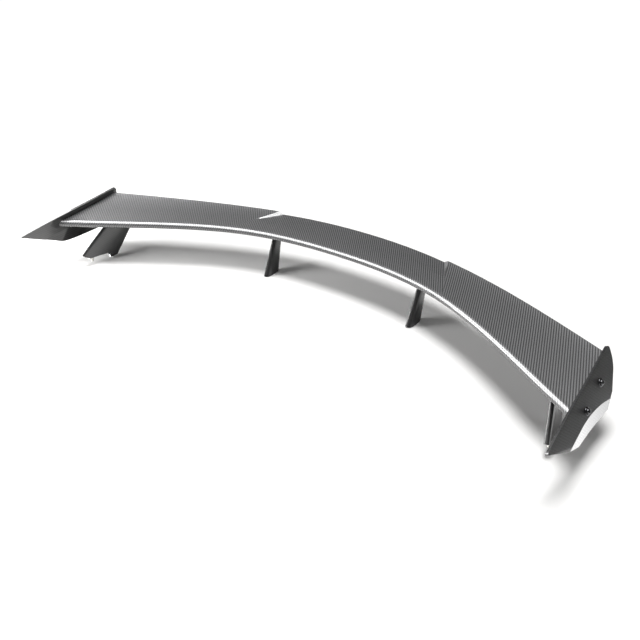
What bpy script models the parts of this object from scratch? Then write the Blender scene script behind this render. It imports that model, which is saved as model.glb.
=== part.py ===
"""Racing rear wing: a swept hollow blade with bolted end plates, on four raked stands.

Metres. X runs along the span, -Y is the front, +Z is up. The origin is at the middle of the outline in
plan, at the height of the feet. The right-hand pieces are modelled and the left-hand ones mirror them.
"""
import math

import bmesh
import bpy
from mathutils import Matrix, Vector
from mathutils.bvhtree import BVHTree

# Clearances and wall thicknesses
GAP = 0.0003          # between pieces that touch
BOND = 0.0009         # adhesive between a skin and what is bonded to it
SKIN = 0.0013         # blade skins
WALL = 0.0020         # stand shells
TIP_GAP = 0.0011      # between the blade's end and the end plate

# Blade planform: cubic curves of x and y, from the centre to the tip
NOSE_CURVE = ((0.0, 0.1533), (0.3226, 0.1533), (0.4321, 0.0735), (0.762, -0.1147))
TAIL_CURVE = ((0.0, 0.254), (0.260, 0.254), (0.441, 0.192), (0.741, 0.048))
TIP_NOSE_X = 0.7820
TIP_TAIL_X = 0.7520

# Blade section
NOSE_DEPTH = 0.014        # the nose is half an ellipse, this far ahead of its centre
NOSE_HALF = 0.0088        # and this far above and below it, at the centre of the span
NOSE_HALF_GROWTH = 0.0012
NOSE_Z = 0.1151
NOSE_Z_RISE = 0.0099
TAIL_THICK = 0.0040
TAIL_Z = 0.1355
TAIL_Z_RISE = 0.022
CAMBER = 0.0025

# Step in the trailing edge: the centre panel drops below the raised outer panels
STEP_NOSE_X = 0.340
STEP_TAIL_X = 0.2726
STEP_START = 0.48         # fraction of the chord where the step begins
STEP_DROP = 0.008
STEP_WIDTH = 0.0103
SEAM_WIDTH = 0.002
STEP_FADE = 0.12

# End plate: its outer face is the plane x = PLATE_X - TOE (y - PLATE_Y) - CANT (z - PLATE_Z)
PLATE_X = 0.7943
PLATE_Y = -0.250
PLATE_Z = 0.137
TOE = 0.0939
CANT = 0.3268
PLATE_THICK = 0.006
LIP_START = (-0.1855, 0.0958)    # y and z where the crease leaves the lower edge
LIP_END = (0.0050, 0.0870)       # and where it meets the rear edge
LIP_CREASE_SLOPE = 0.132
LIP_Z = 0.0660                   # level lower edge of the upright lip
EDGE_ROUND = 0.0012

# End plate fasteners: M6 button heads on finishing washers, in a line along the blade's end
BOLT_RADIUS = 0.003
BOLT_AT = {"front": (-0.0926, 0.1191), "rear": (-0.0172, 0.1332)}
RIB_THICK = 0.008
RIB_Y = (-0.108, 0.000)
RIB_BELOW_BOLT = 0.0105

SPAR_THICK = 0.0025
SPAR_AT = {"front_spar": 0.17, "rear_spar": 0.80}
SPAR_END = 0.955

# Stands: x and y at the floor of the front and rear edges, with their lean per metre of height
INNER_STAND = {
    "front": (0.2340, 0.1040), "front_lean": (0.031, 0.583),
    "rear": (0.2340, 0.1535), "rear_lean": (0.031, 0.343),
    "thick": 0.0200, "taper": -0.045,
    "foot": ((0.0, 0.0020), (0.10, 0.0016), (0.30, 0.0010), (0.82, 0.0006), (0.92, 0.0022),
             (0.97, 0.0050), (1.0, 0.0095)),
}
OUTER_STAND = {
    "front": (0.7410, -0.1678), "front_lean": (-0.417, 1.113),
    "rear": (0.7050, -0.0275), "rear_lean": (-0.384, 0.595),
    "thick": 0.0170, "taper": -0.030,
    "foot": ((0.0, 0.0365), (0.1, 0.0310), (0.2, 0.0265), (0.28, 0.0222), (0.50, 0.0222),
             (0.65, 0.0205), (0.76, 0.0180), (0.81, 0.0045), (1.0, 0.0045)),
}
STUD_RADIUS = 0.003
STUD_AT = (0.7195, -0.1010, 0.0)
STUD_Z = (0.0095, 0.0360)
PIN_RADIUS = 0.002
PIN_AT = (0.7065, -0.0385, 0.0)
PIN_Z = (0.0, 0.0180)
FOOT_PAD_Z = 0.0215
HEEL_PAD_Z = 0.0040
NUT_FLATS = 0.010
NUT_HEIGHT = 0.005
INNER_HOLE_AT = (0.2340, 0.1250, 0.0)
INNER_HOLE_RADIUS = 0.0025
INNER_HOLE_DEPTH = 0.018


# ---------------------------------------------------------------- scene and materials

for existing in list(bpy.data.objects):
    bpy.data.objects.remove(existing, do_unlink=True)

PARTS = bpy.data.collections.new("racing_rear_wing")
CUTTERS = bpy.data.collections.new("cutters")
bpy.context.scene.collection.children.link(PARTS)
bpy.context.scene.collection.children.link(CUTTERS)


def principled(name, colour, roughness, metallic=0.0, coat=0.0):
    material = bpy.data.materials.new(name)
    material.use_nodes = True
    shader = material.node_tree.nodes["Principled BSDF"]
    shader.inputs["Base Color"].default_value = (*colour, 1.0)
    shader.inputs["Roughness"].default_value = roughness
    shader.inputs["Metallic"].default_value = metallic
    shader.inputs["Coat Weight"].default_value = coat
    return material


CARBON_TOP = principled("carbon_top", (0.10, 0.10, 0.10), 0.35, coat=1.0)
CARBON_PLATE = principled("carbon_plate", (0.03, 0.03, 0.03), 0.35, coat=1.0)
CARBON_STAND = principled("carbon_stand", (0.02, 0.02, 0.02), 0.30, coat=1.0)
CARBON_INNER = principled("carbon_inner", (0.05, 0.05, 0.05), 0.70)
ALUMINIUM = principled("aluminium", (0.62, 0.63, 0.64), 0.40, metallic=1.0)
STEEL = principled("zinc_steel", (0.55, 0.54, 0.50), 0.30, metallic=1.0)
BLACK_STEEL = principled("black_steel", (0.05, 0.05, 0.05), 0.35, metallic=1.0)


# ---------------------------------------------------------------- mesh helpers

def add_object(name, mesh, material, collection=PARTS):
    item = bpy.data.objects.new(name, mesh)
    collection.objects.link(item)
    if material is not None:
        mesh.materials.clear()
        mesh.materials.append(material)
    return item


def add_cutter(name, mesh):
    item = add_object(name, mesh, None, CUTTERS)
    item.hide_render = True
    item.display_type = "WIRE"
    return item


def evaluated_mesh(item):
    bpy.context.view_layer.update()
    graph = bpy.context.evaluated_depsgraph_get()
    return bpy.data.meshes.new_from_object(item.evaluated_get(graph))


def surface_tree(items):
    """One search tree over the finished surfaces of the given objects."""
    joined = bmesh.new()
    for item in items:
        joined.from_mesh(evaluated_mesh(item))
    tree = BVHTree.FromBMesh(joined)
    joined.free()
    return tree


def mirrored(item, name):
    """The left-hand copy of a finished right-hand piece."""
    mesh = evaluated_mesh(item)
    mesh.name = name
    mesh.transform(Matrix.Scale(-1.0, 4, Vector((1.0, 0.0, 0.0))))
    mesh.flip_normals()
    return add_object(name, mesh, item.data.materials[0])


def grid_mesh(name, rows, closed=False):
    """A mesh of quads through rows of points; closed joins each row's end to its start."""
    bm = bmesh.new()
    verts = [[bm.verts.new(point) for point in row] for row in rows]
    for row, above in zip(verts, verts[1:]):
        count = len(row)
        for i in range(count if closed else count - 1):
            j = (i + 1) % count
            bm.faces.new((row[i], row[j], above[j], above[i]))
    mesh = bpy.data.meshes.new(name)
    bm.to_mesh(mesh)
    bm.free()
    return mesh


def slab_mesh(name, lower_rows, upper_rows):
    """A closed block between a lower and an upper grid of points with the same layout."""
    bm = bmesh.new()
    low = [[bm.verts.new(point) for point in row] for row in lower_rows]
    high = [[bm.verts.new(point) for point in row] for row in upper_rows]
    last_row = len(low) - 1
    last = len(low[0]) - 1
    for a in range(last_row):
        for b in range(last):
            bm.faces.new((low[a][b], low[a + 1][b], low[a + 1][b + 1], low[a][b + 1]))
            bm.faces.new((high[a][b], high[a][b + 1], high[a + 1][b + 1], high[a + 1][b]))
    rim = [(0, b) for b in range(last)]
    rim += [(a, last) for a in range(last_row)]
    rim += [(last_row, b) for b in range(last, 0, -1)]
    rim += [(a, 0) for a in range(last_row, 0, -1)]
    for (a, b), (c, d) in zip(rim, rim[1:] + rim[:1]):
        bm.faces.new((low[a][b], low[c][d], high[c][d], high[a][b]))
    bmesh.ops.recalc_face_normals(bm, faces=bm.faces)
    mesh = bpy.data.meshes.new(name)
    bm.to_mesh(mesh)
    bm.free()
    return mesh


def ring_loft_mesh(name, rings):
    """A closed body through rings of points that run along one side and back along the other.

    Its two ends are strips of faces from side to side, so they can follow a curved surface.
    """
    bm = bmesh.new()
    verts = [[bm.verts.new(point) for point in ring] for ring in rings]
    for ring, above in zip(verts, verts[1:]):
        count = len(ring)
        for i in range(count):
            j = (i + 1) % count
            bm.faces.new((ring[i], ring[j], above[j], above[i]))
    for ring in (verts[0], verts[-1]):
        for i in range(len(ring) // 2 - 1):
            bm.faces.new((ring[i], ring[i + 1], ring[-i - 2], ring[-i - 1]))
    bmesh.ops.recalc_face_normals(bm, faces=bm.faces)
    mesh = bpy.data.meshes.new(name)
    bm.to_mesh(mesh)
    bm.free()
    return mesh


def shade(item, angle=35.0):
    item.data.shade_smooth()
    item.data.set_sharp_from_angle(angle=math.radians(angle))


def solidify(item, thickness):
    modifier = item.modifiers.new("shell", "SOLIDIFY")
    modifier.thickness = thickness
    modifier.offset = -1.0
    modifier.use_even_offset = True


def cut(item, cutter):
    modifier = item.modifiers.new("cut", "BOOLEAN")
    modifier.operation = "DIFFERENCE"
    modifier.solver = "EXACT"
    modifier.object = cutter


def axis_matrix(origin, axis):
    """A frame at origin whose Z is the given axis."""
    return Matrix.Translation(origin) @ Vector(axis).to_track_quat("Z", "Y").to_matrix().to_4x4()


def cylinder_mesh(name, radius, bottom, top, sides=16):
    bm = bmesh.new()
    middle = Matrix.Translation((0.0, 0.0, (bottom + top) / 2))
    bmesh.ops.create_cone(bm, cap_ends=True, segments=sides, radius1=radius, radius2=radius,
                          depth=top - bottom, matrix=middle)
    mesh = bpy.data.meshes.new(name)
    bm.to_mesh(mesh)
    bm.free()
    return mesh


def turned_mesh(name, profile, steps=16, closed=False):
    """Turns a profile of (radius, height) points about Z; it runs top to bottom down the outside."""
    bm = bmesh.new()
    verts = [bm.verts.new((radius, 0.0, height)) for radius, height in profile]
    for a, b in zip(verts, verts[1:]):
        bm.edges.new((a, b))
    if closed:
        bm.edges.new((verts[-1], verts[0]))
    mesh = bpy.data.meshes.new(name)
    bm.to_mesh(mesh)
    bm.free()
    spinner = add_object(name, mesh, None, CUTTERS)
    screw = spinner.modifiers.new("turn", "SCREW")
    screw.steps = steps
    screw.render_steps = steps
    screw.use_merge_vertices = True
    screw.merge_threshold = 0.00001
    turned = evaluated_mesh(spinner)
    bpy.data.objects.remove(spinner, do_unlink=True)
    return turned


def other_side(vector):
    return Vector((-vector[0], vector[1], vector[2]))


def both_sides(name, mesh, origin, axis, material):
    """A turned or hexagonal piece and its opposite number, its Z along the given axis."""
    for side, start, along in (("right", origin, axis), ("left", other_side(origin), other_side(axis))):
        item = add_object(f"{name}_{side}", mesh, material)
        item.matrix_world = axis_matrix(start, along)


# ---------------------------------------------------------------- blade surface

UP = Vector((0.0, 0.0, 1.0))


def lerp(a, b, t):
    return a + (b - a) * t


def curve_y(curve, x):
    """The y of a planform curve at span station x, found by halving."""
    def at(s, k):
        p = [point[k] for point in curve]
        r = 1.0 - s
        return r ** 3 * p[0] + 3 * r * r * s * p[1] + 3 * r * s * s * p[2] + s ** 3 * p[3]
    low, high = 0.0, 1.2
    for _ in range(40):
        middle = (low + high) / 2
        if at(middle, 0) < x:
            low = middle
        else:
            high = middle
    return at(low, 1)


def plate_x(y, z, depth=0.0):
    """The end plate's outer face, or a plane this far inboard of it."""
    slant = math.sqrt(1.0 + TOE ** 2 + CANT ** 2)
    return PLATE_X - TOE * (y - PLATE_Y) - CANT * (z - PLATE_Z) - depth * slant


def step_share(t):
    return max(0.0, (t - STEP_START) / (1.0 - STEP_START))


def step_line(t, inner):
    """Span position of the step's outer or inner edge at chord fraction t."""
    x = lerp(STEP_NOSE_X, STEP_TAIL_X, t)
    if inner:
        x -= SEAM_WIDTH + STEP_WIDTH * step_share(t)
    return x


def station(q, t, centre_panel):
    """Plan position at fraction q of a panel's span and fraction t of the chord."""
    if centre_panel:
        x = q * step_line(t, True)
        nose_x = q * step_line(0.0, True)
        tail_x = q * step_line(1.0, True)
    else:
        x = lerp(step_line(t, False), lerp(TIP_NOSE_X, TIP_TAIL_X, t), q)
        nose_x = lerp(STEP_NOSE_X, TIP_NOSE_X, q)
        tail_x = lerp(STEP_TAIL_X, TIP_TAIL_X, q)
    y = lerp(curve_y(NOSE_CURVE, nose_x), curve_y(TAIL_CURVE, tail_x), t)
    return x, y, nose_x, tail_x


def mean_height(x, t, nose_x, tail_x, centre_panel):
    """Height of the section's middle line."""
    nose_z = NOSE_Z + NOSE_Z_RISE * (nose_x / NOSE_CURVE[3][0]) ** 2
    outboard = max(0.0, tail_x - STEP_TAIL_X) / (TAIL_CURVE[3][0] - STEP_TAIL_X)
    tail_z = TAIL_Z + TAIL_Z_RISE * outboard ** 1.6 - TAIL_THICK / 2
    z = lerp(nose_z, tail_z, t) - CAMBER * 4.0 * t * (1.0 - t)
    if centre_panel:
        away = min(1.0, (step_line(t, True) - x) / STEP_FADE)
        away = away * away * (3.0 - 2.0 * away)
        z -= STEP_DROP * lerp(step_share(t), t * t, away)
    return z


def blade_point(q, t, side, centre_panel, theta=None):
    """A point of the outer surface. side is 1 above and -1 below; theta places it on the nose."""
    x, y, nose_x, tail_x = station(q, t, centre_panel)
    z = mean_height(x, t, nose_x, tail_x, centre_panel)
    half = NOSE_HALF + NOSE_HALF_GROWTH * nose_x / NOSE_CURVE[3][0]
    if theta is not None:
        y -= NOSE_DEPTH * math.cos(theta)
        z += half * math.sin(theta)
    elif side > 0:
        z += lerp(TAIL_THICK / 2, half, (1.0 - t * t) ** 1.6)
    else:
        z -= lerp(TAIL_THICK / 2, half, (1.0 - t * t) * (1.0 + 0.35 * t))
    if not centre_panel and q == 1.0:
        x = plate_x(y, z, PLATE_THICK + TIP_GAP)
    return Vector((x, y, z))


CENTRE_STATIONS = [i / 6 for i in range(7)]
OUTER_STATIONS = [i / 11 for i in range(12)]
STATIONS = [(q, True) for q in CENTRE_STATIONS] + [(q, False) for q in OUTER_STATIONS]
UPPER_CHORD = (0.07, 0.18, 0.32, STEP_START, 0.62, 0.76, 0.89, 1.0)
LOWER_CHORD = (0.12, 0.28, STEP_START, 0.64, 0.82, 1.0)
JOINT_ANGLE = -40.0       # where the two skins meet, below the nose
JOINT_GAP = 3.0           # degrees left open for the bond


def skin(name, angles, chord, side):
    """One blade skin: an open half surface, mirrored at the centre and thickened inwards."""
    rows = []
    for q, centre_panel in STATIONS:
        row = [blade_point(q, 0.0, side, centre_panel, math.radians(a)) for a in angles]
        row += [blade_point(q, t, side, centre_panel) for t in chord]
        rows.append(row)
    if side > 0:
        rows.reverse()
    item = add_object(name, grid_mesh(name, rows), CARBON_TOP)
    mirror = item.modifiers.new("both_halves", "MIRROR")
    mirror.merge_threshold = 0.0001
    solidify(item, SKIN)
    shade(item, 50.0)
    return item


upper_skin = skin("upper_skin", (JOINT_ANGLE + JOINT_GAP, -33, -15, 8, 32, 60, 90), UPPER_CHORD, 1)
lower_skin = skin("lower_skin", (JOINT_ANGLE, -44, -65, -90), LOWER_CHORD, -1)
SKINS = surface_tree([upper_skin, lower_skin])
UNDERSIDE = surface_tree([lower_skin])


def cavity(x, y):
    """Floor and ceiling of the hollow between the skins, less the bond line."""
    heights = []
    start = Vector((x, y, 0.0))
    while len(heights) < 3:
        hit = SKINS.ray_cast(start, Vector((0.0, 0.0, 1.0)))[0]
        heights.append(hit.z)
        start = hit + Vector((0.0, 0.0, 0.00002))
    return heights[1] + BOND, heights[2] - BOND


def under_surface(point, lean):
    """Where a line from below first meets the blade."""
    return UNDERSIDE.ray_cast(Vector(point), Vector(lean).normalized())[0]


# ---------------------------------------------------------------- inside the blade

def cavity_block(name, rows, material):
    """A block that fills the hollow over a grid of plan positions."""
    low = [[Vector((x, y, cavity(x, y)[0])) for x, y in row] for row in rows]
    high = [[Vector((x, y, cavity(x, y)[1])) for x, y in row] for row in rows]
    return add_object(name, slab_mesh(name, low, high), material)


def spar(name, t):
    """A shear web that follows the blade's curve from tip rib to tip rib."""
    half = [station(q, t, True)[:2] for q in CENTRE_STATIONS[1:]]
    half += [station(q, t, False)[:2] for q in OUTER_STATIONS[:-1]]
    half.append(station(SPAR_END, t, False)[:2])
    line = [(-x, y) for x, y in reversed(half)] + [station(0.0, t, True)[:2]] + half
    rows = [[(x, y + offset) for x, y in line] for offset in (-SPAR_THICK / 2, SPAR_THICK / 2)]
    return cavity_block(name, rows, CARBON_INNER)


def rib_slab(name, depths, ends, drop, rise=None):
    """A block parallel to the end plate, from below the bolts up into the blade's end.

    rise stops it that far above the hollow's floor; without it the block fills the hollow.
    """
    (front_y, front_z), (rear_y, rear_z) = BOLT_AT.values()
    low_rows = []
    high_rows = []
    for depth in depths:
        low = []
        high = []
        for i in range(9):
            y = lerp(*ends, i / 8)
            bolt_z = front_z + (rear_z - front_z) * (y - front_y) / (rear_y - front_y)
            low_z = bolt_z - drop
            inside = plate_x(y, bolt_z + 0.014, max(depth, 0.010))
            floor, ceiling = cavity(inside, y)
            high_z = ceiling if rise is None else floor + rise
            low.append(Vector((plate_x(y, low_z, depth), y, low_z)))
            high.append(Vector((plate_x(y, high_z, depth), y, high_z)))
        low_rows.append(low)
        high_rows.append(high)
    return slab_mesh(name, low_rows, high_rows)


def tip_rib(name):
    """A metal rib in the blade's end, with a flange below the blade that the end plate bolts to."""
    inner_face = PLATE_THICK + GAP
    depths = (inner_face, inner_face + RIB_THICK)
    return add_object(name, rib_slab(name, depths, RIB_Y, RIB_BELOW_BOLT), ALUMINIUM)


def plan_grid(centre, along, half_length, half_width, columns):
    """Rows of plan positions over a rectangle with its long side in the given direction."""
    along = Vector(along).normalized()
    across = Vector((-along.y, along.x))
    rows = []
    for side in (-1.0, 0.0, 1.0):
        row = []
        for i in range(columns + 1):
            share = 2.0 * i / columns - 1.0
            row.append(tuple(Vector(centre) + along * half_length * share + across * half_width * side))
        rows.append(row)
    return rows


def hardpoint(name, centre, along, half_length, half_width):
    """A metal block bonded between the skins over a stand."""
    return cavity_block(name, plan_grid(centre, along, half_length, half_width, 4), ALUMINIUM)


def blade_cutter(name, centre, along, half_length, half_width):
    """A block standing where the blade is, with the bond line added below, to trim a stand's top."""
    rows = plan_grid(centre, along, half_length, half_width, 12)
    low = [[under_surface((x, y, 0.0), UP) - UP * BOND for x, y in row] for row in rows]
    high = [[point + UP * 0.02 for point in row] for row in low]
    return add_cutter(name, slab_mesh(name, low, high))


# ---------------------------------------------------------------- stands

def stand_point(stand, c, side, z, inset=0.0):
    """A point of a stand's side at chord fraction c and height z, drawn in by inset all round."""
    front = Vector(stand["front"]) + Vector(stand["front_lean"]) * z
    rear = Vector(stand["rear"]) + Vector(stand["rear_lean"]) * z
    along = (rear - front).normalized()
    across = Vector((along.y, -along.x))
    front += along * inset * 2.2
    rear -= along * inset * 2.2
    half = (stand["thick"] + stand["taper"] * z) / 2 - inset * 1.15
    bulge = (1.0 - abs(2.0 * c - 1.0) ** 4.0) ** 0.4
    point = front.lerp(rear, c) + across * half * bulge * side
    return Vector((point.x, point.y, z))


def foot_height(stand, c):
    for (c0, z0), (c1, z1) in zip(stand["foot"], stand["foot"][1:]):
        if c <= c1:
            return lerp(z0, z1, (c - c0) / (c1 - c0))
    return stand["foot"][-1][1]


def chord_steps(start, end, count):
    """Chord fractions from start to end, closer together at the ends."""
    middle = [lerp(start, end, (1.0 - math.cos(math.pi * i / count)) / 2) for i in range(1, count)]
    return [start] + middle + [end]


def section_loop(start, end, count):
    """(c, side) pairs once round a section; a pointed end is a single point."""
    steps = chord_steps(start, end, count)
    loop = [(c, 1.0) for c in steps]
    return loop + [(c, -1.0) for c in reversed(steps) if 0.0 < c < 1.0]


def top_height(stand, c, side):
    """A height just above where the stand's surface line meets the blade."""
    low = stand_point(stand, c, side, 0.05)
    high = stand_point(stand, c, side, 0.06)
    return under_surface(low, high - low).z + 0.003


def stand_shell(name, stand, count, rows):
    loop = section_loop(0.0, 1.0, count)
    levels = []
    for k in range(rows + 1):
        ring = []
        for c, side in loop:
            z = lerp(foot_height(stand, c), top_height(stand, c, side), k / rows)
            ring.append(stand_point(stand, c, side, z))
        levels.append(ring)
    item = add_object(name, grid_mesh(name, levels, closed=True), CARBON_STAND)
    solidify(item, WALL)
    shade(item)
    return item


def stand_block(name, stand, chord, heights, material, count=8, rows=2):
    """A solid that fits inside a stand's shell over a stretch of its chord and height.

    heights are the bottom and top z; None as the top runs the block up to the blade.
    """
    rings = []
    for k in range(rows + 1):
        ring = []
        for c, side in section_loop(*chord, count):
            top = heights[1] if heights[1] is not None else top_height(stand, c, side)
            ring.append(stand_point(stand, c, side, lerp(heights[0], top, k / rows), WALL + GAP))
        rings.append(ring)
    item = add_object(name, ring_loft_mesh(name, rings), material)
    shade(item)
    return item


# ---------------------------------------------------------------- end plate

def bezier2(a, b, c, count):
    """Points of a quadratic curve, without its first one."""
    points = []
    for i in range(1, count + 1):
        s = i / count
        points.append(a.lerp(b, s).lerp(b.lerp(c, s), s))
    return points


def plate_outline():
    """The plate's outline in y and z: the free edge, and the crease from its start to its end."""
    start = Vector(LIP_START)
    end = Vector(LIP_END)
    knee = Vector((-0.1200, start.y + LIP_CREASE_SLOPE * (-0.1200 - start.x)))
    crease = [start, start.lerp(knee, 0.25), start.lerp(knee, 0.5), start.lerp(knee, 0.75), knee]
    crease += bezier2(knee, Vector((-0.062, 0.1098)), end, 7)
    free = [Vector((0.0193, 0.0942)), Vector((0.0319, 0.1098)), Vector((0.0440, 0.1250))]
    free += bezier2(free[-1], Vector((0.0505, 0.1335)), Vector((0.0520, 0.1500)), 3)
    free.append(Vector((0.0512, 0.1640)))
    free += bezier2(free[-1], Vector((0.0505, 0.1740)), Vector((0.0400, 0.1728)), 3)
    free += [Vector((-0.0520, 0.1615)), Vector((-0.1020, 0.1563))]
    free += bezier2(free[-1], Vector((-0.1800, 0.1485)), Vector((-0.2460, 0.1378)), 3)
    free += bezier2(free[-1], Vector((-0.2628, 0.1360)), Vector((-0.2470, 0.1297)), 4)
    free.append(start.lerp(free[-1], 0.5))
    return free, crease


def lip_edge(y):
    """Height of the lip's lower edge."""
    share = (y - LIP_START[0]) / 0.050
    if share < 1.0:
        return lerp(LIP_START[1], LIP_Z + 0.0035, share)
    return LIP_Z + 0.0035 * max(0.0, 2.0 - share) ** 2 - 0.0010 * min(1.0, max(0.0, share - 2.0))


def on_plate(point, depth=0.0):
    return Vector((plate_x(point.x, point.y, depth), point.x, point.y))


def end_plate(name):
    """A folded sheet: the canted face and the upright lip below its crease, thickened inwards."""
    free, crease = plate_outline()
    bm = bmesh.new()
    fold = [bm.verts.new(on_plate(point)) for point in crease]
    rim = [bm.verts.new(on_plate(point)) for point in free]
    bm.faces.new(fold + rim)
    hem = [bm.verts.new((vert.co.x, vert.co.y, lip_edge(vert.co.y))) for vert in fold[1:-1]]
    lower = [fold[0]] + hem + [fold[-1]]
    for i in range(len(fold) - 1):
        corners = [fold[i + 1], fold[i], lower[i], lower[i + 1]]
        bm.faces.new(list(dict.fromkeys(corners)))
    bmesh.ops.recalc_face_normals(bm, faces=bm.faces)
    bm.faces.ensure_lookup_table()
    if bm.faces[0].normal.x < 0.0:
        bmesh.ops.reverse_faces(bm, faces=bm.faces)
    mesh = bpy.data.meshes.new(name)
    bm.to_mesh(mesh)
    bm.free()
    item = add_object(name, mesh, CARBON_PLATE)
    solidify(item, PLATE_THICK)
    edge = item.modifiers.new("rounded_edge", "BEVEL")
    edge.width = EDGE_ROUND
    edge.segments = 1
    edge.limit_method = "ANGLE"
    edge.angle_limit = math.radians(55.0)
    shade(item)
    return item


# ---------------------------------------------------------------- build: blade inside

spars = [spar(name, t) for name, t in SPAR_AT.items()]
rib = tip_rib("tip_rib_right")
for side_sign in (1.0, -1.0):
    notch_depths = (-0.002, PLATE_THICK + RIB_THICK + 4 * GAP)
    notch_ends = (RIB_Y[0] - 3 * GAP, RIB_Y[1] + 3 * GAP)
    notch = add_cutter("rib_notch", rib_slab("rib_notch", notch_depths, notch_ends, 0.03, 0.003))
    if side_sign < 0.0:
        notch.data.transform(Matrix.Scale(-1.0, 4, Vector((1.0, 0.0, 0.0))))
        notch.data.flip_normals()
    cut(lower_skin, notch)
inner_hardpoint = hardpoint("inner_hardpoint_right", (0.2375, 0.1815), (0.0, 1.0), 0.022, 0.016)
outer_hardpoint = hardpoint("outer_hardpoint_right", (0.6715, 0.0070), (-0.39, 0.92), 0.038, 0.015)

# ---------------------------------------------------------------- build: stands

inner_stand = stand_shell("inner_stand_right", INNER_STAND, 10, 3)
outer_stand = stand_shell("outer_stand_right", OUTER_STAND, 14, 3)
inner_core = stand_block("inner_stand_core_right", INNER_STAND, (0.02, 0.80), (0.0, None), ALUMINIUM,
                         rows=3)
foot_block = stand_block("outer_foot_block_right", OUTER_STAND, (0.24, 0.44), (FOOT_PAD_Z, 0.040),
                         ALUMINIUM)
heel_block = stand_block("outer_heel_block_right", OUTER_STAND, (0.85, 0.98), (HEEL_PAD_Z, 0.022),
                         ALUMINIUM)
top_block = stand_block("outer_top_block_right", OUTER_STAND, (0.10, 0.90), (0.098, None), ALUMINIUM)


def placed_cutter(name, radius, bottom, top, origin, axis=UP, sides=16):
    cutter = add_cutter(name, cylinder_mesh(name, radius, bottom, top, sides))
    cutter.matrix_world = axis_matrix(origin, axis)
    return cutter


inner_blade = blade_cutter("inner_blade", (0.2375, 0.1775), (0.0, 1.0), 0.032, 0.018)
outer_blade = blade_cutter("outer_blade", (0.6700, 0.0120), (-0.41, 0.91), 0.062, 0.022)
for piece in (inner_stand, inner_core):
    cut(piece, inner_blade)
for piece in (outer_stand, top_block):
    cut(piece, outer_blade)

cut(inner_core, placed_cutter("inner_hole", INNER_HOLE_RADIUS, -0.01, INNER_HOLE_DEPTH, INNER_HOLE_AT))
cut(foot_block, placed_cutter("stud_hole", STUD_RADIUS + GAP, 0.0, STUD_Z[1] + GAP, STUD_AT))
cut(heel_block, placed_cutter("pin_hole", PIN_RADIUS + GAP, -0.01, PIN_Z[1] + GAP, PIN_AT))
both_sides("outer_foot_stud", cylinder_mesh("stud", STUD_RADIUS, *STUD_Z), STUD_AT, UP, STEEL)
both_sides("outer_heel_pin", cylinder_mesh("pin", PIN_RADIUS, *PIN_Z), PIN_AT, UP, STEEL)


def nut_mesh():
    """A hexagon nut with a clearance bore, standing on z = 0."""
    body = add_cutter("nut", cylinder_mesh("nut", NUT_FLATS / math.sqrt(3.0), 0.0, NUT_HEIGHT, 6))
    bore = placed_cutter("nut_bore", STUD_RADIUS + GAP, -0.01, 0.01, (0.0, 0.0, 0.0))
    cut(body, bore)
    mesh = evaluated_mesh(body)
    bpy.data.objects.remove(body, do_unlink=True)
    bpy.data.objects.remove(bore, do_unlink=True)
    return mesh


NUT = nut_mesh()
both_sides("outer_foot_nut", NUT, Vector(STUD_AT) + UP * (FOOT_PAD_Z - GAP - NUT_HEIGHT), UP, STEEL)


# ---------------------------------------------------------------- build: stand screws

def cap_screw(name, radius, head_radius, head_height, length):
    """A low-head screw: the seat is at z = 0, the head above it and the shank below."""
    chamfer = 0.0006
    profile = [(0.0, head_height), (head_radius - chamfer, head_height),
               (head_radius, head_height - chamfer), (head_radius, 0.0),
               (radius, 0.0), (radius, -length), (0.0, -length)]
    return turned_mesh(name, profile, steps=12)


def fasten_stand(name, hardpoint_item, block, positions, axis, radius, head_radius, head_height):
    """Screws from the hardpoint, down through the lower skin, into the stand's block."""
    axis = Vector(axis).normalized()
    seat = 0.0045
    length = 0.018
    clearance = (radius + GAP, -length - 0.001, 0.0005)
    mesh = cap_screw(name, radius, head_radius, head_height, length)
    for place, (x, y) in positions.items():
        origin = under_surface((x, y, 0.0), UP) + axis * seat
        far_origin = other_side(origin)
        both_sides(f"{name}_{place}", mesh, origin, axis, STEEL)
        shank = placed_cutter(f"{name}_{place}_shank", *clearance, origin, axis, 12)
        far_shank = placed_cutter(f"{name}_{place}_far", *clearance, far_origin, other_side(axis), 12)
        head = placed_cutter(f"{name}_{place}_head", head_radius + 2 * GAP, -GAP, 0.02, origin, axis, 12)
        cut(hardpoint_item, shank)
        cut(hardpoint_item, head)
        cut(block, shank)
        cut(lower_skin, shank)
        cut(lower_skin, far_shank)


fasten_stand("inner_stand_screw", inner_hardpoint, inner_core,
             {"front": (0.2375, 0.1780), "rear": (0.2375, 0.1870)}, (0.031, 0.46, 1.0),
             0.0020, 0.0036, 0.0030)
fasten_stand("outer_stand_screw", outer_hardpoint, top_block,
             {"front": (0.6800, -0.0110), "rear": (0.6670, 0.0200)}, (-0.02, 0.0, 1.0),
             0.0025, 0.0045, 0.0032)


# ---------------------------------------------------------------- build: end plate

plate = end_plate("end_plate_right")

OUTWARD = Vector((1.0, TOE, CANT)).normalized()
WASHER_TOP = 0.0021
HEAD_BASE = WASHER_TOP + GAP
SCREW_END = -(PLATE_THICK + RIB_THICK - 0.001)


def finishing_washer():
    """A dished ring whose top the screw head sits on."""
    inner = BOLT_RADIUS + GAP
    profile = [(0.0062, WASHER_TOP), (0.0074, 0.0016), (0.0084, 0.0006), (0.0084, GAP),
               (inner, GAP), (inner, WASHER_TOP)]
    return turned_mesh("washer", profile, closed=True)


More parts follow.
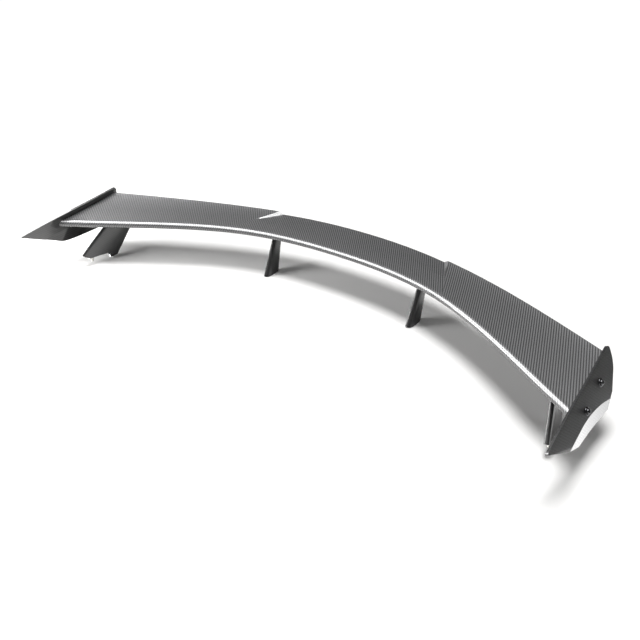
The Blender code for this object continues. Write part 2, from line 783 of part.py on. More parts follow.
def button_screw():
    """A button head with a hexagon socket, its shank running inboard."""
    profile = [(0.0, HEAD_BASE + 0.0033), (0.0022, HEAD_BASE + 0.0033), (0.0038, HEAD_BASE + 0.0026),
               (0.0049, HEAD_BASE + 0.0013), (0.0053, HEAD_BASE), (BOLT_RADIUS, HEAD_BASE),
               (BOLT_RADIUS, SCREW_END), (0.0, SCREW_END)]
    body = add_cutter("button", turned_mesh("button", profile))
    socket = placed_cutter("socket", 0.0020, HEAD_BASE + 0.0012, HEAD_BASE + 0.01, (0.0, 0.0, 0.0), sides=6)
    cut(body, socket)
    mesh = evaluated_mesh(body)
    bpy.data.objects.remove(body, do_unlink=True)
    bpy.data.objects.remove(socket, do_unlink=True)
    return mesh


WASHER = finishing_washer()
SCREW = button_screw()
for place, (bolt_y, bolt_z) in BOLT_AT.items():
    origin = Vector((plate_x(bolt_y, bolt_z), bolt_y, bolt_z))
    bolt_hole = placed_cutter(f"bolt_hole_{place}", BOLT_RADIUS + GAP, -0.03, 0.01, origin, OUTWARD)
    cut(plate, bolt_hole)
    cut(rib, bolt_hole)
    both_sides(f"end_plate_washer_{place}", WASHER, origin, OUTWARD, BLACK_STEEL)
    both_sides(f"end_plate_screw_{place}", SCREW, origin, OUTWARD, BLACK_STEEL)

# ---------------------------------------------------------------- left-hand copies

RIGHT_HAND = (rib, inner_hardpoint, outer_hardpoint, inner_stand, outer_stand, inner_core, foot_block,
              heel_block, top_block, plate)
for piece in RIGHT_HAND:
    mirrored(piece, piece.name.replace("_right", "_left"))
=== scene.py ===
import math

import bmesh
import bpy
from mathutils import Matrix, Vector
from mathutils.bvhtree import BVHTree

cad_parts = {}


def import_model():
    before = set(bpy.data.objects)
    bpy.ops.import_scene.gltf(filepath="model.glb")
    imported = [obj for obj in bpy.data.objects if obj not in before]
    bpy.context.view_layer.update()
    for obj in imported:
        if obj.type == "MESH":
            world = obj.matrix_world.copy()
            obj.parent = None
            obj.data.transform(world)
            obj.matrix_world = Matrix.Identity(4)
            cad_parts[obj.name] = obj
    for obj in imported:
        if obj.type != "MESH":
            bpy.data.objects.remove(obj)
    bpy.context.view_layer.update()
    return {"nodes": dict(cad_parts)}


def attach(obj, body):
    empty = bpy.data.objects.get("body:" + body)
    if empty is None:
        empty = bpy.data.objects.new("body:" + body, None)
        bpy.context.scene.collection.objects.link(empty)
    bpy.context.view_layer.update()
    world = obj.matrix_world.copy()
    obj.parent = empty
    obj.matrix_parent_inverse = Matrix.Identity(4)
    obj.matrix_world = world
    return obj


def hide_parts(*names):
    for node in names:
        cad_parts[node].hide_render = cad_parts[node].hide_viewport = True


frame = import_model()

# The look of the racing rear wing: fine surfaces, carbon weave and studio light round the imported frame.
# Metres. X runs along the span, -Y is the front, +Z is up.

NODES = frame["nodes"]
UP = Vector((0.0, 0.0, 1.0))

# ---------------------------------------------------------------- the part's own dimensions

GAP = 0.0003              # between pieces that touch
BOND = 0.0009             # adhesive between the blade and what is bonded to it
SKIN = 0.0013             # blade skins
WALL = 0.0020             # stand shells
TIP_GAP = 0.0011          # between the blade's end and the end plate

# Blade: cubic curves of x and y from the centre to the tip, and the section's sizes
NOSE_CURVE = ((0.0, 0.1533), (0.3226, 0.1533), (0.4321, 0.0735), (0.762, -0.1147))
TAIL_CURVE = ((0.0, 0.254), (0.260, 0.254), (0.441, 0.192), (0.741, 0.048))
TIP_NOSE_X = 0.7820
TIP_TAIL_X = 0.7520

NOSE_DEPTH = 0.014
NOSE_HALF = 0.0088
NOSE_HALF_GROWTH = 0.0012
NOSE_Z = 0.1151
NOSE_Z_RISE = 0.0099
TAIL_THICK = 0.0040
TAIL_Z = 0.1355
TAIL_Z_RISE = 0.022
CAMBER = 0.0025

# Step between the lower centre panel and the raised outer panels
STEP_NOSE_X = 0.340
STEP_TAIL_X = 0.2726
STEP_START = 0.48
STEP_DROP = 0.008
STEP_WIDTH = 0.0103
SEAM_WIDTH = 0.002
STEP_FADE = 0.12

# End plate: its outer face is the plane x = PLATE_X - TOE (y - PLATE_Y) - CANT (z - PLATE_Z)
PLATE_X = 0.7943
PLATE_Y = -0.250
PLATE_Z = 0.137
TOE = 0.0939
CANT = 0.3268
PLATE_THICK = 0.006
LIP_START = (-0.1855, 0.0958)    # y and z where the crease leaves the lower edge
LIP_END = (0.0050, 0.0870)       # and where it meets the rear edge
LIP_CREASE_SLOPE = 0.132
LIP_KNEE_Y = -0.1200             # where the crease starts to bend
LIP_CORNER_Y = 0.050             # length of the lip's sloping front corner
LIP_Z = 0.0660                   # level lower edge of the upright lip
LIP_SAG = 0.0035                 # how far above that the corner ends
LIP_DROP = 0.0010                # and how far below it the lip ends

BOLT_RADIUS = 0.003
BOLT_AT = {"front": (-0.0926, 0.1191), "rear": (-0.0172, 0.1332)}
SCREW_DEPTH = 0.013

# Stands: x and y at the floor of the front and rear edges, with their lean per metre of height
INNER_STAND = {
    "front": (0.2340, 0.1040), "front_lean": (0.031, 0.583),
    "rear": (0.2340, 0.1535), "rear_lean": (0.031, 0.343),
    "thick": 0.0200, "taper": -0.045,
    "foot": ((0.0, 0.0020), (0.10, 0.0016), (0.30, 0.0010), (0.82, 0.0006), (0.92, 0.0022),
             (0.97, 0.0050), (1.0, 0.0095)),
}
OUTER_STAND = {
    "front": (0.7410, -0.1678), "front_lean": (-0.417, 1.113),
    "rear": (0.7050, -0.0275), "rear_lean": (-0.384, 0.595),
    "thick": 0.0170, "taper": -0.030,
    "foot": ((0.0, 0.0365), (0.1, 0.0310), (0.2, 0.0265), (0.28, 0.0222), (0.50, 0.0222),
             (0.65, 0.0205), (0.76, 0.0180), (0.81, 0.0045), (1.0, 0.0045)),
}
BULGE_POWERS = (4.0, 0.4)        # how square a stand's section is
PROBE_Z = (0.05, 0.06)           # two heights that give the line of a stand's side

STUD_AT = (0.7195, -0.1010)
STUD_RADIUS = 0.003
STUD_Z = (0.0095, 0.0360)
NUT_BASE = 0.0162
NUT_HEIGHT = 0.005
NUT_FLATS = 0.010


# ---------------------------------------------------------------- procedural materials

TOW = 0.0018              # width of one carbon tow
TWILL = 4.0               # the pattern repeats every four tows
TOW_HEIGHT = 0.00012      # how far a tow's middle stands above its edges
STREAK_SCALE = 900.0      # loose filaments along the tows
STREAK_STRETCH = (1.0, 0.06, 0.06)
PATCH_SCALE = 60.0        # patches of tone on plain surfaces
MARK_DEPTH = 0.00002      # machining marks
ROUGHNESS_SPREAD = 0.16   # from the marks' smoothest to their roughest


def lerp(a, b, t):
    return a + (b - a) * t


class Nodes:
    """Builds one material's node tree."""

    def __init__(self, name, roughness, metallic=0.0, coat=0.0, coat_roughness=0.03):
        self.material = bpy.data.materials.new(name)
        self.material.use_nodes = True
        self.tree = self.material.node_tree
        self.shader = self.tree.nodes["Principled BSDF"]
        self.shader.inputs["Roughness"].default_value = roughness
        self.shader.inputs["Metallic"].default_value = metallic
        self.shader.inputs["Coat Weight"].default_value = coat
        self.shader.inputs["Coat Roughness"].default_value = coat_roughness

    def link(self, output, target):
        self.tree.links.new(output, target)

    def math(self, operation, a, b=None):
        node = self.tree.nodes.new("ShaderNodeMath")
        node.operation = operation
        for socket, value in zip(node.inputs, (a, b)):
            if isinstance(value, (int, float)):
                socket.default_value = value
            elif value is not None:
                self.link(value, socket)
        return node.outputs[0]

    def weave_position(self):
        """The U and V of the cloth, in metres."""
        coordinate = self.tree.nodes.new("ShaderNodeTexCoord")
        split = self.tree.nodes.new("ShaderNodeSeparateXYZ")
        self.link(coordinate.outputs["UV"], split.inputs[0])
        return split.outputs[0], split.outputs[1]

    def mix(self, factor, a, b):
        """A colour between a and b; each is a colour or an output."""
        node = self.tree.nodes.new("ShaderNodeMix")
        node.data_type = "RGBA"
        self.link(factor, node.inputs[0])
        for socket, value in ((node.inputs[6], a), (node.inputs[7], b)):
            if isinstance(value, tuple):
                socket.default_value = (*value, 1.0)
            else:
                self.link(value, socket)
        return node.outputs[2]

    def noise(self, scale, detail, stretch=(1.0, 1.0, 1.0)):
        coordinate = self.tree.nodes.new("ShaderNodeTexCoord")
        mapping = self.tree.nodes.new("ShaderNodeMapping")
        mapping.inputs["Scale"].default_value = stretch
        self.link(coordinate.outputs["Object"], mapping.inputs["Vector"])
        node = self.tree.nodes.new("ShaderNodeTexNoise")
        node.inputs["Scale"].default_value = scale
        node.inputs["Detail"].default_value = detail
        self.link(mapping.outputs["Vector"], node.inputs["Vector"])
        return node.outputs["Fac"]

    def bump(self, height, distance, strength):
        node = self.tree.nodes.new("ShaderNodeBump")
        node.inputs["Distance"].default_value = distance
        node.inputs["Strength"].default_value = strength
        self.link(height, node.inputs["Height"])
        self.link(node.outputs["Normal"], self.shader.inputs["Normal"])


def twill(name, warp, weft, dip_shade_and_streak, roughness, metallic, diagonal=1.0):
    """Two-by-two twill carbon under a clear coat, with painted sheen on the warp tows and painted shade
    where each tow dips at its edges. The UVs are in metres along the two tows.
    """
    nodes = Nodes(name, roughness, metallic, coat=1.0)
    u, v = nodes.weave_position()
    across = nodes.math("DIVIDE", u, TOW)
    along = nodes.math("DIVIDE", v, TOW)
    column = nodes.math("FLOOR", across)
    row = nodes.math("FLOOR", along)
    turn = nodes.math("SUBTRACT", column, nodes.math("MULTIPLY", row, diagonal))
    place = nodes.math("FLOORED_MODULO", turn, TWILL)
    over = nodes.math("LESS_THAN", place, TWILL / 2 - 0.5)
    warp_share = nodes.math("FRACT", across)
    weft_share = nodes.math("FRACT", along)

    def crown(share):
        """0 at a tow's edges and 1 along its middle."""
        rest = nodes.math("SUBTRACT", 1.0, share)
        return nodes.math("MULTIPLY", nodes.math("MULTIPLY", share, 4.0), rest)

    warp_lift = nodes.math("MULTIPLY", over, crown(warp_share))
    weft_lift = nodes.math("MULTIPLY", nodes.math("SUBTRACT", 1.0, over), crown(weft_share))
    lift = nodes.math("ADD", warp_lift, weft_lift)
    streaks = nodes.noise(STREAK_SCALE, 2.0, STREAK_STRETCH)
    # Painted sheen: the warp tows get a lighter colour than the weft. Painted shade: the colour darkens
    # towards each tow's edges, where it dips; the streaks are darker loose filaments.
    tow = nodes.mix(over, weft, warp)
    shaded = nodes.mix(nodes.math("POWER", lift, 0.5), dip_shade_and_streak, tow)
    streaked = nodes.mix(nodes.math("MULTIPLY", streaks, 0.35), shaded, dip_shade_and_streak)
    nodes.link(streaked, nodes.shader.inputs["Base Color"])
    nodes.bump(lift, TOW_HEIGHT, 0.35)
    return nodes.material


def metal(name, colour, dark, roughness, grain, brushed=(1.0, 1.0, 1.0), metallic=1.0):
    """A plain surface with fine marks and slight patches of tone: metal, or uncoated carbon."""
    nodes = Nodes(name, roughness, metallic)
    patches = nodes.noise(PATCH_SCALE, 4.0)
    marks = nodes.noise(grain, 2.0, brushed)
    nodes.link(nodes.mix(patches, dark, colour), nodes.shader.inputs["Base Color"])
    spread = nodes.math("MULTIPLY_ADD", marks, ROUGHNESS_SPREAD)
    spread.node.inputs[2].default_value = roughness - ROUGHNESS_SPREAD / 2
    nodes.link(spread, nodes.shader.inputs["Roughness"])
    nodes.bump(marks, MARK_DEPTH, 0.25)
    return nodes.material


# Painted light: one carbon cloth in three copies of different tone. The blade's copy is the lit one; the end
# plates' copy is darker and the stands' copy darker still, both painted shade.
LIT_BLADE_CARBON = twill("blade_carbon_painted_sheen", (0.195, 0.195, 0.20), (0.010, 0.010, 0.011), (0.006, 0.006, 0.006),
                     roughness=0.42, metallic=0.12, diagonal=-1.0)
SHADED_PLATE_CARBON = twill("plate_carbon_painted_shade", (0.024, 0.024, 0.025), (0.008, 0.008, 0.008), (0.004, 0.004, 0.004),
                     roughness=0.38, metallic=0.3, diagonal=-1.0)
SHADED_STAND_CARBON = twill("stand_carbon_painted_shade", (0.010, 0.010, 0.011), (0.004, 0.004, 0.004), (0.002, 0.002, 0.002),
                     roughness=0.40, metallic=0.1)
BARE_CARBON = metal("bare_carbon", (0.06, 0.06, 0.06), (0.035, 0.035, 0.035),
                    roughness=0.6, grain=800.0, brushed=(1.0, 8.0, 1.0), metallic=0.0)
ALUMINIUM = metal("machined_aluminium", (0.66, 0.67, 0.68), (0.52, 0.53, 0.54),
                  roughness=0.36, grain=700.0, brushed=(0.1, 1.0, 1.0))
ZINC_STEEL = metal("zinc_steel", (0.62, 0.60, 0.55), (0.45, 0.44, 0.42), roughness=0.30, grain=1200.0)
BLACK_STEEL = metal("black_steel", (0.10, 0.10, 0.105), (0.05, 0.05, 0.052), roughness=0.22, grain=1500.0)


# ---------------------------------------------------------------- mesh helpers

def link_piece(name, mesh, material, slot, *cad_nodes):
    """A finished piece that rides with the part, with the CAD nodes that it stands for."""
    piece = bpy.data.objects.new(name, mesh)
    bpy.context.scene.collection.objects.link(piece)
    mesh.materials.append(material)
    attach(piece, "root")
    if cad_nodes:
        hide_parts(*cad_nodes)
    return piece


def grid_mesh(name, rows, closed=False):
    """Quads through rows of (point, uv); closed joins each row's end to its start."""
    bm = bmesh.new()
    layer = bm.loops.layers.uv.new("weave")
    verts = [[bm.verts.new(point) for point, _ in row] for row in rows]
    for r in range(len(rows) - 1):
        count = len(rows[r])
        for i in range(count if closed else count - 1):
            j = (i + 1) % count
            corners = ((r, i), (r, j), (r + 1, j), (r + 1, i))
            face = bm.faces.new([verts[a][b] for a, b in corners])
            face.smooth = True
            for loop, (a, b) in zip(face.loops, corners):
                loop[layer].uv = rows[a][b][1]
    mesh = bpy.data.meshes.new(name)
    bm.to_mesh(mesh)
    bm.free()
    return mesh


def solidify(piece, thickness):
    """Gives a surface its thickness, inwards from the outer face."""
    modifier = piece.modifiers.new("shell", "SOLIDIFY")
    modifier.thickness = thickness
    modifier.offset = -1.0
    modifier.use_even_offset = True


def round_edges(piece, width, segments, angle):
    """Bevels the edges that are sharper than the angle, in degrees."""
    modifier = piece.modifiers.new("rounded_edge", "BEVEL")
    modifier.width = width
    modifier.segments = segments
    modifier.limit_method = "ANGLE"
    modifier.angle_limit = math.radians(angle)
    modifier.harden_normals = True


def apply_modifiers(piece, sharp):
    """Replaces the piece's mesh by its finished one; edges over the sharp angle, if any, stay hard."""
    bpy.context.view_layer.update()
    graph = bpy.context.evaluated_depsgraph_get()
    finished = bpy.data.meshes.new_from_object(piece.evaluated_get(graph))
    piece.modifiers.clear()
    piece.data = finished
    if sharp is not None:
        finished.shade_smooth()
        finished.set_sharp_from_angle(angle=math.radians(sharp))


def other_side(vector):
    """The mirror image in the plane x = 0."""
    return Vector((-vector[0], vector[1], vector[2]))


def axis_matrix(origin, axis):
    """A frame at origin whose Z is the given axis."""
    return Matrix.Translation(origin) @ Vector(axis).to_track_quat("Z", "Y").to_matrix().to_4x4()


def turned_mesh(name, profile, steps=48, sharp=30.0):
    """Turns a closed or open profile of (radius, height) points about Z, down the outside."""
    bm = bmesh.new()
    rings = []
    for radius, height in profile:
        if radius < 1e-6:
            rings.append([bm.verts.new((0.0, 0.0, height))])
            continue
        angles = [2.0 * math.pi * i / steps for i in range(steps)]
        rings.append([bm.verts.new((radius * math.cos(a), radius * math.sin(a), height)) for a in angles])
    for upper, lower in zip(rings, rings[1:]):
        for i in range(steps):
            j = (i + 1) % steps
            corners = [upper[i % len(upper)], lower[i % len(lower)], lower[j % len(lower)],
                       upper[j % len(upper)]]
            bm.faces.new(list(dict.fromkeys(corners)))
    bmesh.ops.recalc_face_normals(bm, faces=bm.faces)
    mesh = bpy.data.meshes.new(name)
    bm.to_mesh(mesh)
    bm.free()
    mesh.shade_smooth()
    mesh.set_sharp_from_angle(angle=math.radians(sharp))
    return mesh


# ---------------------------------------------------------------- blade

def curve_y(curve, x):
    """The y of a planform curve at span station x, found by halving."""
    def at(s, k):
        p = [point[k] for point in curve]
        r = 1.0 - s
        return r ** 3 * p[0] + 3 * r * r * s * p[1] + 3 * r * s * s * p[2] + s ** 3 * p[3]
    low, high = 0.0, 1.2
    for _ in range(40):
        middle = (low + high) / 2
        if at(middle, 0) < x:
            low = middle
        else:
            high = middle
    return at(low, 1)


def plate_x(y, z, depth=0.0):
    """The end plate's outer face, or a plane this far inboard of it."""
    slant = math.sqrt(1.0 + TOE ** 2 + CANT ** 2)
    return PLATE_X - TOE * (y - PLATE_Y) - CANT * (z - PLATE_Z) - depth * slant


def step_share(t):
    """How far chord fraction t is along the step, from 0 where it starts to 1 at the trailing edge."""
    return max(0.0, (t - STEP_START) / (1.0 - STEP_START))


def step_line(t, inner):
    """Span position of the step's outer or inner edge at chord fraction t."""
    x = lerp(STEP_NOSE_X, STEP_TAIL_X, t)
    if inner:
        x -= SEAM_WIDTH + STEP_WIDTH * step_share(t)
    return x


def station(q, t, centre_panel):
    """Plan position at fraction q of a panel's span and fraction t of the chord."""
    if centre_panel:
        x = q * step_line(t, True)
        nose_x = q * step_line(0.0, True)
        tail_x = q * step_line(1.0, True)
    else:
        x = lerp(step_line(t, False), lerp(TIP_NOSE_X, TIP_TAIL_X, t), q)
        nose_x = lerp(STEP_NOSE_X, TIP_NOSE_X, q)
        tail_x = lerp(STEP_TAIL_X, TIP_TAIL_X, q)
    y = lerp(curve_y(NOSE_CURVE, nose_x), curve_y(TAIL_CURVE, tail_x), t)
    return x, y, nose_x, tail_x


def mean_height(x, t, nose_x, tail_x, centre_panel):
    """Height of the section's middle line."""
    nose_z = NOSE_Z + NOSE_Z_RISE * (nose_x / NOSE_CURVE[3][0]) ** 2
    outboard = max(0.0, tail_x - STEP_TAIL_X) / (TAIL_CURVE[3][0] - STEP_TAIL_X)
    tail_z = TAIL_Z + TAIL_Z_RISE * outboard ** 1.6 - TAIL_THICK / 2
    z = lerp(nose_z, tail_z, t) - CAMBER * 4.0 * t * (1.0 - t)
    if centre_panel:
        away = min(1.0, (step_line(t, True) - x) / STEP_FADE)
        away = away * away * (3.0 - 2.0 * away)
        z -= STEP_DROP * lerp(step_share(t), t * t, away)
    return z


def blade_point(q, t, side, centre_panel, theta=None):
    """A point of the outer surface and its weave UV. theta places it on the nose."""
    x, y, nose_x, tail_x = station(q, t, centre_panel)
    z = mean_height(x, t, nose_x, tail_x, centre_panel)
    half = NOSE_HALF + NOSE_HALF_GROWTH * nose_x / NOSE_CURVE[3][0]
    v = y
    if theta is not None:
        y -= NOSE_DEPTH * math.cos(theta)
        z += half * math.sin(theta)
        v -= (NOSE_DEPTH + half) / 2 * (math.pi / 2 - abs(theta))
    elif side > 0:
        z += lerp(TAIL_THICK / 2, half, (1.0 - t * t) ** 1.6)
    else:
        z -= lerp(TAIL_THICK / 2, half, (1.0 - t * t) * (1.0 + 0.35 * t))
    if not centre_panel and q == 1.0:
        x = plate_x(y, z, PLATE_THICK + TIP_GAP)
    return Vector((x, y, z)), (x, v)


CLOTH_TURN = -12.0        # degrees from the span to the cloth's first tows, on the centre panel
PANEL_TURN = -8.0         # added on the right-hand panel and taken off on the left-hand one
TAIL_ROUND = 0.0004       # the top skin's trailing edge is rounded by this
TAIL_DROP = 0.0025        # and turns down by this to close the trailing edge
TAIL_WEAVE = 0.0020       # length of cloth given to the turned-down strip
JOINT_ANGLES = (-37.0, -40.4)    # where the two skins stop on either side of their joint, in degrees


def spaced(start, end, count):
    """count + 1 even values from start to end."""
    return [lerp(start, end, i / count) for i in range(count + 1)]


def weave_uv(uv, panel_turn):
    """A plan position in the cloth's own axes, which turn a little from panel to panel."""
    turn = math.radians(CLOTH_TURN + panel_turn)
    u, v = uv
    return u * math.cos(turn) + v * math.sin(turn), v * math.cos(turn) - u * math.sin(turn)


STATIONS = [(q, True) for q in spaced(0.0, 1.0, 26)] + [(q, False) for q in spaced(0.0, 1.0, 52)]
CHORD = spaced(0.03, STEP_START, 12)[:-1] + spaced(STEP_START, 1.0, 12)
UPPER_NOSE = spaced(JOINT_ANGLES[0], 90.0, 20)
LOWER_NOSE = spaced(JOINT_ANGLES[1], -90.0, 6)


def blade_skin(name, angles, side, cad_node):
    """One blade skin over the whole span; the upper one turns down to close the trailing edge."""
    half_rows = []
    for q, centre_panel in STATIONS:
        row = [blade_point(q, 0.0, side, centre_panel, math.radians(a)) for a in angles]
        row += [blade_point(q, t, side, centre_panel) for t in CHORD]
        if side > 0:
            edge, (u, v) = row[-1]
            row[-1] = (edge - Vector((0.0, TAIL_ROUND, 0.0)), (u, v - TAIL_ROUND))
            row.append((edge - UP * TAIL_ROUND, (u, v)))
            row.append((edge - UP * TAIL_DROP, (u, v + TAIL_WEAVE)))
        half_rows.append(row)
    rows = []
    for (_, centre_panel), row in reversed(list(zip(STATIONS, half_rows))[1:]):
        turn = 0.0 if centre_panel else -PANEL_TURN
        rows.append([(other_side(point), weave_uv((-u, v), turn)) for point, (u, v) in row])
    for (_, centre_panel), row in zip(STATIONS, half_rows):
        turn = 0.0 if centre_panel else PANEL_TURN
        rows.append([(point, weave_uv(uv, turn)) for point, uv in row])
    if side > 0:
        rows.reverse()
    piece = link_piece(name, grid_mesh(name, rows), LIT_BLADE_CARBON, "carbon_blade", cad_node)
    solidify(piece, SKIN)
    apply_modifiers(piece, sharp=28.0)
    return piece


def surface_tree(piece):
    """The piece's faces, ready to be hit by rays."""
    bm = bmesh.new()
    bm.from_mesh(piece.data)
    tree = BVHTree.FromBMesh(bm)
    bm.free()
    return tree


blade_skin("blade_upper_skin", UPPER_NOSE, 1, "upper_skin")
UNDERSIDE = surface_tree(blade_skin("blade_lower_skin", LOWER_NOSE, -1, "lower_skin"))


# ---------------------------------------------------------------- stands

def stand_point(stand, c, side, z):
    """A point of a stand's side at chord fraction c and height z."""
    front = Vector(stand["front"]) + Vector(stand["front_lean"]) * z
    rear = Vector(stand["rear"]) + Vector(stand["rear_lean"]) * z
    along = (rear - front).normalized()
    across = Vector((along.y, -along.x))
    half = (stand["thick"] + stand["taper"] * z) / 2
    square, blunt = BULGE_POWERS
    bulge = (1.0 - abs(2.0 * c - 1.0) ** square) ** blunt
    point = front.lerp(rear, c) + across * half * bulge * side
    return Vector((point.x, point.y, z))


def foot_height(stand, c):
    """Height of a stand's lower edge at chord fraction c."""
    for (c0, z0), (c1, z1) in zip(stand["foot"], stand["foot"][1:]):
        if c <= c1:
            return lerp(z0, z1, (c - c0) / (c1 - c0))
    return stand["foot"][-1][1]


def section_loop(count):
    """(c, side) pairs once round a stand's section, closer together at its ends."""
    steps = [(1.0 - math.cos(math.pi * i / count)) / 2 for i in range(count + 1)]
    return [(c, 1.0) for c in steps] + [(c, -1.0) for c in reversed(steps) if 0.0 < c < 1.0]


def top_height(stand, c, side):
    """Height of the blade's underside above a point of the stand, less the bond line."""
    low, high = [stand_point(stand, c, side, z) for z in PROBE_Z]
    return UNDERSIDE.ray_cast(low, (high - low).normalized())[0].z - BOND


def stand(name, shape, cad_name, count=40, levels=16):
    """A stand's hollow shell on each side, from its foot up to the blade."""
    for side_name, flip in (("right", 1.0), ("left", -1.0)):
        rows = []
        loop = section_loop(count)
        for k in range(levels + 1):
            row = []
            for c, side in loop:
                z = lerp(foot_height(shape, c), top_height(shape, c, side), k / levels)
                point = stand_point(shape, c, side, z)
                row.append((Vector((point.x * flip, point.y, point.z)), (point.y * side, point.z)))
            rows.append(row)
        if flip < 0.0:
            rows.reverse()
        piece_name = f"{name}_{side_name}"
        mesh = grid_mesh(piece_name, rows, closed=True)
        piece = link_piece(piece_name, mesh, SHADED_STAND_CARBON, "carbon_stand", f"{cad_name}_{side_name}")
        solidify(piece, WALL)
        apply_modifiers(piece, sharp=40.0)


stand("inner_stand_shell", INNER_STAND, "inner_stand")
stand("outer_stand_shell", OUTER_STAND, "outer_stand")


# ---------------------------------------------------------------- end plates

def bezier2(a, b, c, count):
    """Points of a quadratic curve, without its first one."""
    points = []
    for i in range(1, count + 1):
        s = i / count
        points.append(a.lerp(b, s).lerp(b.lerp(c, s), s))
    return points


def plate_outline():
    """The plate's outline in y and z: the free edge, and the crease from its start to its end."""
    start = Vector(LIP_START)
    end = Vector(LIP_END)
    knee = Vector((LIP_KNEE_Y, start.y + LIP_CREASE_SLOPE * (LIP_KNEE_Y - start.x)))
    crease = [start] + [start.lerp(knee, i / 8) for i in range(1, 9)]
    crease += bezier2(knee, Vector((-0.062, 0.1098)), end, 20)
    free = [Vector((0.0193, 0.0942)), Vector((0.0319, 0.1098)), Vector((0.0440, 0.1250))]
    free += bezier2(free[-1], Vector((0.0505, 0.1335)), Vector((0.0520, 0.1500)), 8)
    free.append(Vector((0.0512, 0.1640)))
    free += bezier2(free[-1], Vector((0.0505, 0.1740)), Vector((0.0400, 0.1728)), 10)
    free += [Vector((-0.0520, 0.1615)), Vector((-0.1020, 0.1563))]
    free += bezier2(free[-1], Vector((-0.1800, 0.1485)), Vector((-0.2460, 0.1378)), 10)
    free += bezier2(free[-1], Vector((-0.2628, 0.1360)), Vector((-0.2470, 0.1297)), 10)
    free.append(start.lerp(free[-1], 0.5))
    return free, crease


def lip_edge(y):
    """Height of the lip's lower edge."""
    share = (y - LIP_START[0]) / LIP_CORNER_Y
    if share < 1.0:
        return lerp(LIP_START[1], LIP_Z + LIP_SAG, share)
    return LIP_Z + LIP_SAG * max(0.0, 2.0 - share) ** 2 - LIP_DROP * min(1.0, max(0.0, share - 2.0))


def end_plate(side_name, flip):
    """A folded sheet: the canted face and the upright lip below its crease."""
    free, crease = plate_outline()
    bm = bmesh.new()
    layer = bm.loops.layers.uv.new("weave")

    def corner(x, y, z):
        return bm.verts.new((x * flip, y, z))

    fold = [corner(plate_x(*point), *point) for point in crease]
    rim = [corner(plate_x(*point), *point) for point in free]
    bm.faces.new(fold + rim)
    hem = [corner(abs(vert.co.x), vert.co.y, lip_edge(vert.co.y)) for vert in fold[1:-1]]
    lower = [fold[0]] + hem + [fold[-1]]
    for i in range(len(fold) - 1):
        corners = [fold[i + 1], fold[i], lower[i], lower[i + 1]]
        bm.faces.new(list(dict.fromkeys(corners)))
    bmesh.ops.recalc_face_normals(bm, faces=bm.faces)
    bm.faces.ensure_lookup_table()
    if bm.faces[0].normal.x * flip < 0.0:
        bmesh.ops.reverse_faces(bm, faces=bm.faces)
    for face in bm.faces:
        face.smooth = True
        for loop in face.loops:
            loop[layer].uv = (loop.vert.co.y, loop.vert.co.z)
    name = f"end_plate_panel_{side_name}"
    mesh = bpy.data.meshes.new(name)
    bm.to_mesh(mesh)
    bm.free()
    piece = link_piece(name, mesh, SHADED_PLATE_CARBON, "carbon_plate", f"end_plate_{side_name}")
    solidify(piece, PLATE_THICK)
    round_edges(piece, width=0.0012, segments=3, angle=12.0)
    apply_modifiers(piece, sharp=None)


# ---------------------------------------------------------------- fasteners

OUTWARD = Vector((1.0, TOE, CANT)).normalized()    # the end plate's normal, on the right-hand side
WASHER_TOP = 0.0021
WASHER_FLAT = 0.0060      # radius where the rounded rim starts
WASHER_RADIUS = 0.0084
HEAD_BASE = WASHER_TOP + GAP
HEAD_TOP = HEAD_BASE + 0.0033
HEAD_RADIUS = 0.0053
SOCKET_RADIUS = 0.0021
SOCKET_DEPTH = 0.0021

NUT_CHAMFER = 0.0006
NUT_FACE = 0.90           # the cone's small end, as a share of the nut's corner radius
THREAD_PITCH = 0.001
THREAD_DEPTH = 0.00055
THREAD_TOP_Z = 0.030
THREAD_END = 0.0008       # plain length left at the stud's lower end


def arc(start, end, bulge, count):
    """Profile points on a curve from start to end that leans towards the bulge point."""
    points = bezier2(Vector(start), Vector(bulge), Vector(end), count)
    return [start] + [tuple(point) for point in points]


def washer_mesh():
    """A finishing washer: a dished ring with a rounded rim."""
    inner = BOLT_RADIUS + GAP
    profile = [(inner, WASHER_TOP)]
    profile += arc((WASHER_FLAT, WASHER_TOP), (WASHER_RADIUS, GAP), (WASHER_RADIUS, WASHER_TOP), 8)
    profile += [(inner, GAP), (inner, WASHER_TOP)]
    return turned_mesh("finishing_washer", profile)


def button_mesh():
    """A button head with a hexagon socket cut into its dome."""
    profile = [(0.0, HEAD_TOP)]
    profile += arc((SOCKET_RADIUS * 1.25, HEAD_TOP), (HEAD_RADIUS, HEAD_BASE), (HEAD_RADIUS, HEAD_TOP), 12)
    profile += [(BOLT_RADIUS, HEAD_BASE), (BOLT_RADIUS, -SCREW_DEPTH), (0.0, -SCREW_DEPTH)]
    mesh = turned_mesh("button_screw", profile)
    body = bpy.data.objects.new("button_body", mesh)
    bpy.context.scene.collection.objects.link(body)
    bm = bmesh.new()
    middle = Matrix.Translation((0.0, 0.0, HEAD_TOP))
    bmesh.ops.create_cone(bm, cap_ends=True, segments=6, radius1=SOCKET_RADIUS, radius2=SOCKET_RADIUS,
                          depth=2.0 * SOCKET_DEPTH, matrix=middle)
    cutter_mesh = bpy.data.meshes.new("socket")
    bm.to_mesh(cutter_mesh)
    bm.free()
    cutter = bpy.data.objects.new("socket", cutter_mesh)
    bpy.context.scene.collection.objects.link(cutter)
    modifier = body.modifiers.new("socket", "BOOLEAN")
    modifier.operation = "DIFFERENCE"
    modifier.solver = "EXACT"
    modifier.object = cutter
    bpy.context.view_layer.update()
    graph = bpy.context.evaluated_depsgraph_get()
    finished = bpy.data.meshes.new_from_object(body.evaluated_get(graph))
    bpy.data.objects.remove(body, do_unlink=True)
    bpy.data.objects.remove(cutter, do_unlink=True)
    finished.materials.clear()
    finished.set_sharp_from_angle(angle=math.radians(30.0))
    return finished


